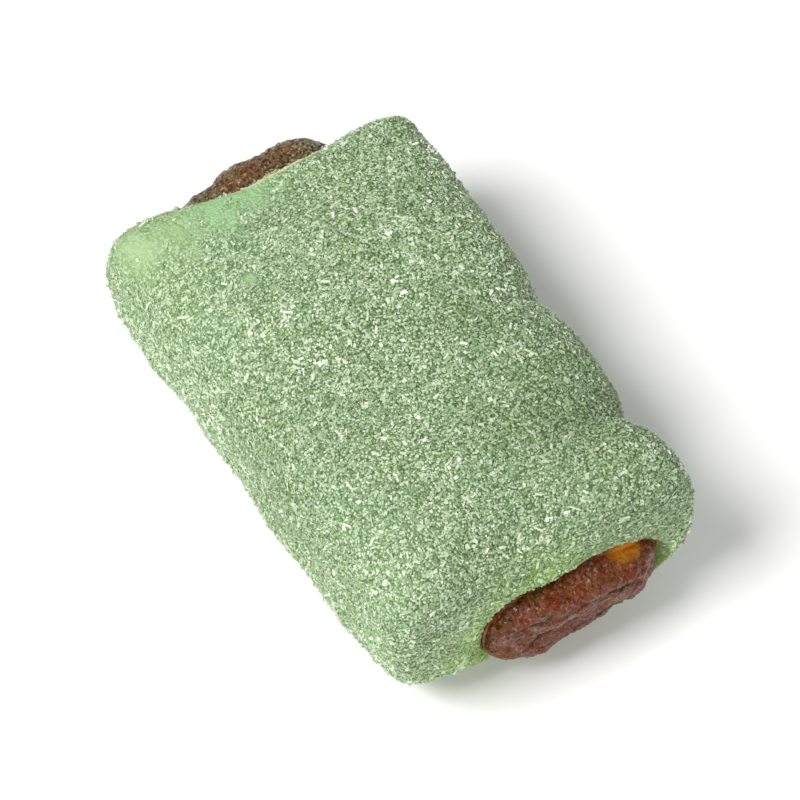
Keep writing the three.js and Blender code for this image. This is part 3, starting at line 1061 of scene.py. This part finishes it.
def scattered(name, kind, spots, facing, random):
    """One mesh of many small shapes, each turned, tilted and bent at random on its spot."""
    count = len(spots)
    sizes = sizes_between(random, count, kind.small, kind.large)
    points, triangles = template(kind.shape)
    corners = len(points)
    local = points[None] * sizes[:, None, :]
    stray = random.uniform(-kind.ragged, kind.ragged, (count, corners, 3))
    local = local + stray * sizes[:, None, :]
    arch = 4.0 * points[None, :, 0] ** 2 - 0.5
    curve = random.uniform(-kind.bend, kind.bend, (count, 2, 1)) * sizes[:, None, 0, None]
    local[:, :, 1] += curve[:, 0] * arch
    local[:, :, 2] += curve[:, 1] * arch
    axes = axes_on(facing, kind.tilt, random)
    placed = np.einsum("nvk,nkd->nvd", local, axes) + spots[:, None]
    placed += (facing * (kind.lift * sizes[:, 2])[:, None])[:, None]
    placed = placed.reshape(-1, 3)
    placed[:, 2] = np.maximum(placed[:, 2], 0.0)
    faces = (triangles[None] + np.arange(count)[:, None, None] * corners).reshape(-1, 3)
    mesh = bpy.data.meshes.new(name)
    mesh.from_pydata(placed, [], faces)
    clumps = TONE_CLUMPS * fractal(spots, size=2.2, octaves=2, seed=14)
    tone = random.random(count) ** TONE_BIAS * (1.0 + clumps)
    paint(mesh, "tone", np.repeat(np.clip(tone, 0.0, 1.0), corners))
    paint(mesh, "green", np.repeat(green_at(spots), corners))
    # how strongly the painted shade of the wide patches lies on each piece
    paint(mesh, "painted_shade", np.repeat(patches_at(spots, SHADE_PATCHES), corners))
    paint(mesh, "film", np.repeat(patches_at(spots, FILM_PATCHES), corners))
    piece = object_of(name, mesh, coconut_finish(name), smooth=False)


# the kinds, largest first; they draw from the same random numbers in this order
COCONUT = {
    "coconut_shreds": Kind(
        shred_shape, 1600, (0.60, 0.17, 0.12), (1.4, 0.30, 0.22),
        tilt=0.30, lift=0.40, ragged=0.14, bend=0.06,
    ),
    "coconut_flecks": Kind(
        fleck_shape, 16000, (0.22, 0.14, 0.10), (0.74, 0.44, 0.24),
        tilt=0.38, lift=0.40, ragged=0.22,
    ),
    "coconut_chips": Kind(
        chip_shape, 28000, (0.20, 0.14, 0.12), (0.50, 0.28, 0.26),
        tilt=0.50, lift=0.25, ragged=0.18,
    ),
    "coconut_grains": Kind(
        grain_shape, 28000, (0.15, 0.14, 0.12), (0.34, 0.28, 0.28),
        tilt=0.50, lift=0.40, ragged=0.12,
    ),
    "coconut_crumbs": Kind(
        crumb_shape, 56000, (0.12, 0.11, 0.10), (0.28, 0.24, 0.22),
        tilt=0.60, lift=0.30, ragged=0.10,
    ),
}


def coat_chance(points):
    """How likely a piece of coconut sticks at each point: in loose clumps, thin underneath."""
    clumps = blotches(points, 0.82, 0.8, size=1.8, octaves=2, seed=11)
    underneath = points[:, 2] < UNDERSIDE + UNDERSIDE_BAND
    return coat_at(points) ** COAT_POWER * clumps * np.where(underneath, UNDERSIDE_SHARE, 1.0)


def make_coconut(mesh):
    """The coat: shreds, chips and fine crumbs, thinned where the dough shows."""
    random = np.random.default_rng(SEED)
    for name, kind in COCONUT.items():
        spots, facing = surface_samples(mesh, kind.tries, random, coat_chance)
        scattered(name, kind, spots, facing, random)


# ------------------------------------------------------------------------------ the syrup
SYRUP_STATIONS = 20
SYRUP_AROUND = 240
SYRUP_SPREAD = 0.42  # how far round the seam its thick place reaches
SYRUP_HALF_WIDTH = (0.28, 0.75)  # where it is thin, and what it gains at the thick place
SYRUP_HEIGHT = (0.22, 0.45)
SYRUP_INWARD = 0.35  # it lies this share of its half width further in than the paste's skin
SYRUP_OUT = 0.05  # how far out of the mouth its middle lies


def make_syrup(name, side, thick_at):
    """A bead of syrup that fills the seam between paste and dough, thickest at one angle."""

    def station(turn):
        def points(angle):
            full = hump(angle, thick_at, SYRUP_SPREAD)
            wander = 0.07 * np.sin(5.0 * angle + side) + 0.05 * np.sin(11.0 * angle)
            half_width = SYRUP_HALF_WIDTH[0] + SYRUP_HALF_WIDTH[1] * full + wander
            height = SYRUP_HEIGHT[0] + SYRUP_HEIGHT[1] * full + 0.5 * wander
            seam = side * (LENGTH / 2 - FACE_DIP[0 if side > 0 else 1] + SYRUP_OUT)
            ring = paste_point(seam, angle, 1.0, 0.0)
            out = half_width * math.cos(turn) - SYRUP_INWARD * half_width
            ring[:, 0] += side * height * math.sin(turn)
            ring[:, 1] += out * np.cos(angle)
            ring[:, 2] += out * np.sin(angle)
            return ring

        return points

    turns = np.linspace(0, 2 * math.pi, SYRUP_STATIONS, endpoint=False)
    mesh = spun_ring(name, [station(turn) for turn in turns], SYRUP_AROUND)
    points = coordinates(mesh)
    y, z = from_paste(points)
    amber = 0.3 * fractal(points, size=1.5, octaves=2, seed=9)
    if side > 0:
        amber = 1.2 * hump(np.arctan2(z, y), thick_at, SYRUP_SPREAD) ** 4 + amber
    paint(mesh, "amber", np.clip(amber, 0.0, 1.0))
    # the syrup has no painted fold shade
    paint(mesh, "fold_shade", np.zeros(len(points)))
    paint(mesh, "dry", np.full(len(points), 0.0 if side > 0 else FAR_DRYNESS))
    piece = object_of(name, mesh, syrup_finish())


# ---------------------------------------------------------------- floor, lights and camera
CAMERA_AZIMUTH = math.radians(58.8)
CAMERA_ELEVATION = math.radians(60.0)
CAMERA_DISTANCE = 400.0
AIM = Vector((0.6, 0.6, 12.3))
PIXELS_PER_MM = 8.9
PICTURE = 800.0  # its width in pixels
SENSOR = 36.0
HALF_FLOOR = 3.0  # in metres, like the lights below
WORLD_STRENGTH = 0.38
# each light: its place, size and power
KEY = ((-0.12, -0.62, 0.93), 0.5, 12.7)
FILL = ((1.4, -0.5, 1.0), 1.2, 11.0)


def make_floor():
    """A plain pale floor."""
    bm = bmesh.new()
    bmesh.ops.create_grid(bm, x_segments=1, y_segments=1, size=HALF_FLOOR)
    mesh = mesh_of(bm, "floor")
    floor = bpy.data.objects.new("floor", mesh)
    bpy.context.scene.collection.objects.link(floor)
    finish = Finish("floor")
    mesh.materials.append(finish.surface(Base_Color=(0.92, 0.92, 0.91, 1.0), Roughness=0.6))


def area_light(name, place, size, power):
    """A white light that points at the roll."""
    data = bpy.data.lights.new(name, "AREA")
    data.size = size
    data.energy = power
    light = bpy.data.objects.new(name, data)
    light.location = place
    light.rotation_euler = (-Vector(place)).to_track_quat("-Z", "Y").to_euler()
    bpy.context.scene.collection.objects.link(light)


def make_lights():
    """An even pale sky, a soft key light and a weaker one from the side."""
    world = bpy.data.worlds.new("studio")
    bpy.context.scene.world = world
    world.use_nodes = True
    background = world.node_tree.nodes["Background"]
    background.inputs["Color"].default_value = (1, 1, 1, 1)
    background.inputs["Strength"].default_value = WORLD_STRENGTH
    area_light("key", *KEY)
    area_light("fill", *FILL)


def make_camera():
    """A long lens from far away, so that near and far parts show at one scale."""
    back = Vector((
        math.sin(CAMERA_AZIMUTH) * math.cos(CAMERA_ELEVATION),
        -math.cos(CAMERA_AZIMUTH) * math.cos(CAMERA_ELEVATION),
        math.sin(CAMERA_ELEVATION),
    ))
    data = bpy.data.cameras.new("camera")
    data.sensor_width = SENSOR
    data.lens = PIXELS_PER_MM * CAMERA_DISTANCE / PICTURE * SENSOR
    data.clip_start = 0.01
    camera = bpy.data.objects.new("camera", data)
    camera.location = (AIM + back * CAMERA_DISTANCE) * MM
    camera.rotation_euler = (-back).to_track_quat("-Z", "Y").to_euler()
    bpy.context.scene.collection.objects.link(camera)
    bpy.context.scene.camera = camera


def main():
    bpy.context.scene.view_settings.view_transform = "Standard"
    make_camera()
    make_floor()
    make_lights()
    body = make_dough()
    sampled = body.data.copy()
    set_coordinates(sampled, coordinates(sampled) / MM - SHIFT)
    make_coconut(sampled)
    bpy.data.meshes.remove(sampled)
    make_paste()
    make_syrup("syrup_near", side=1, thick_at=0.6)
    make_syrup("syrup_far", side=-1, thick_at=2.2)


main()
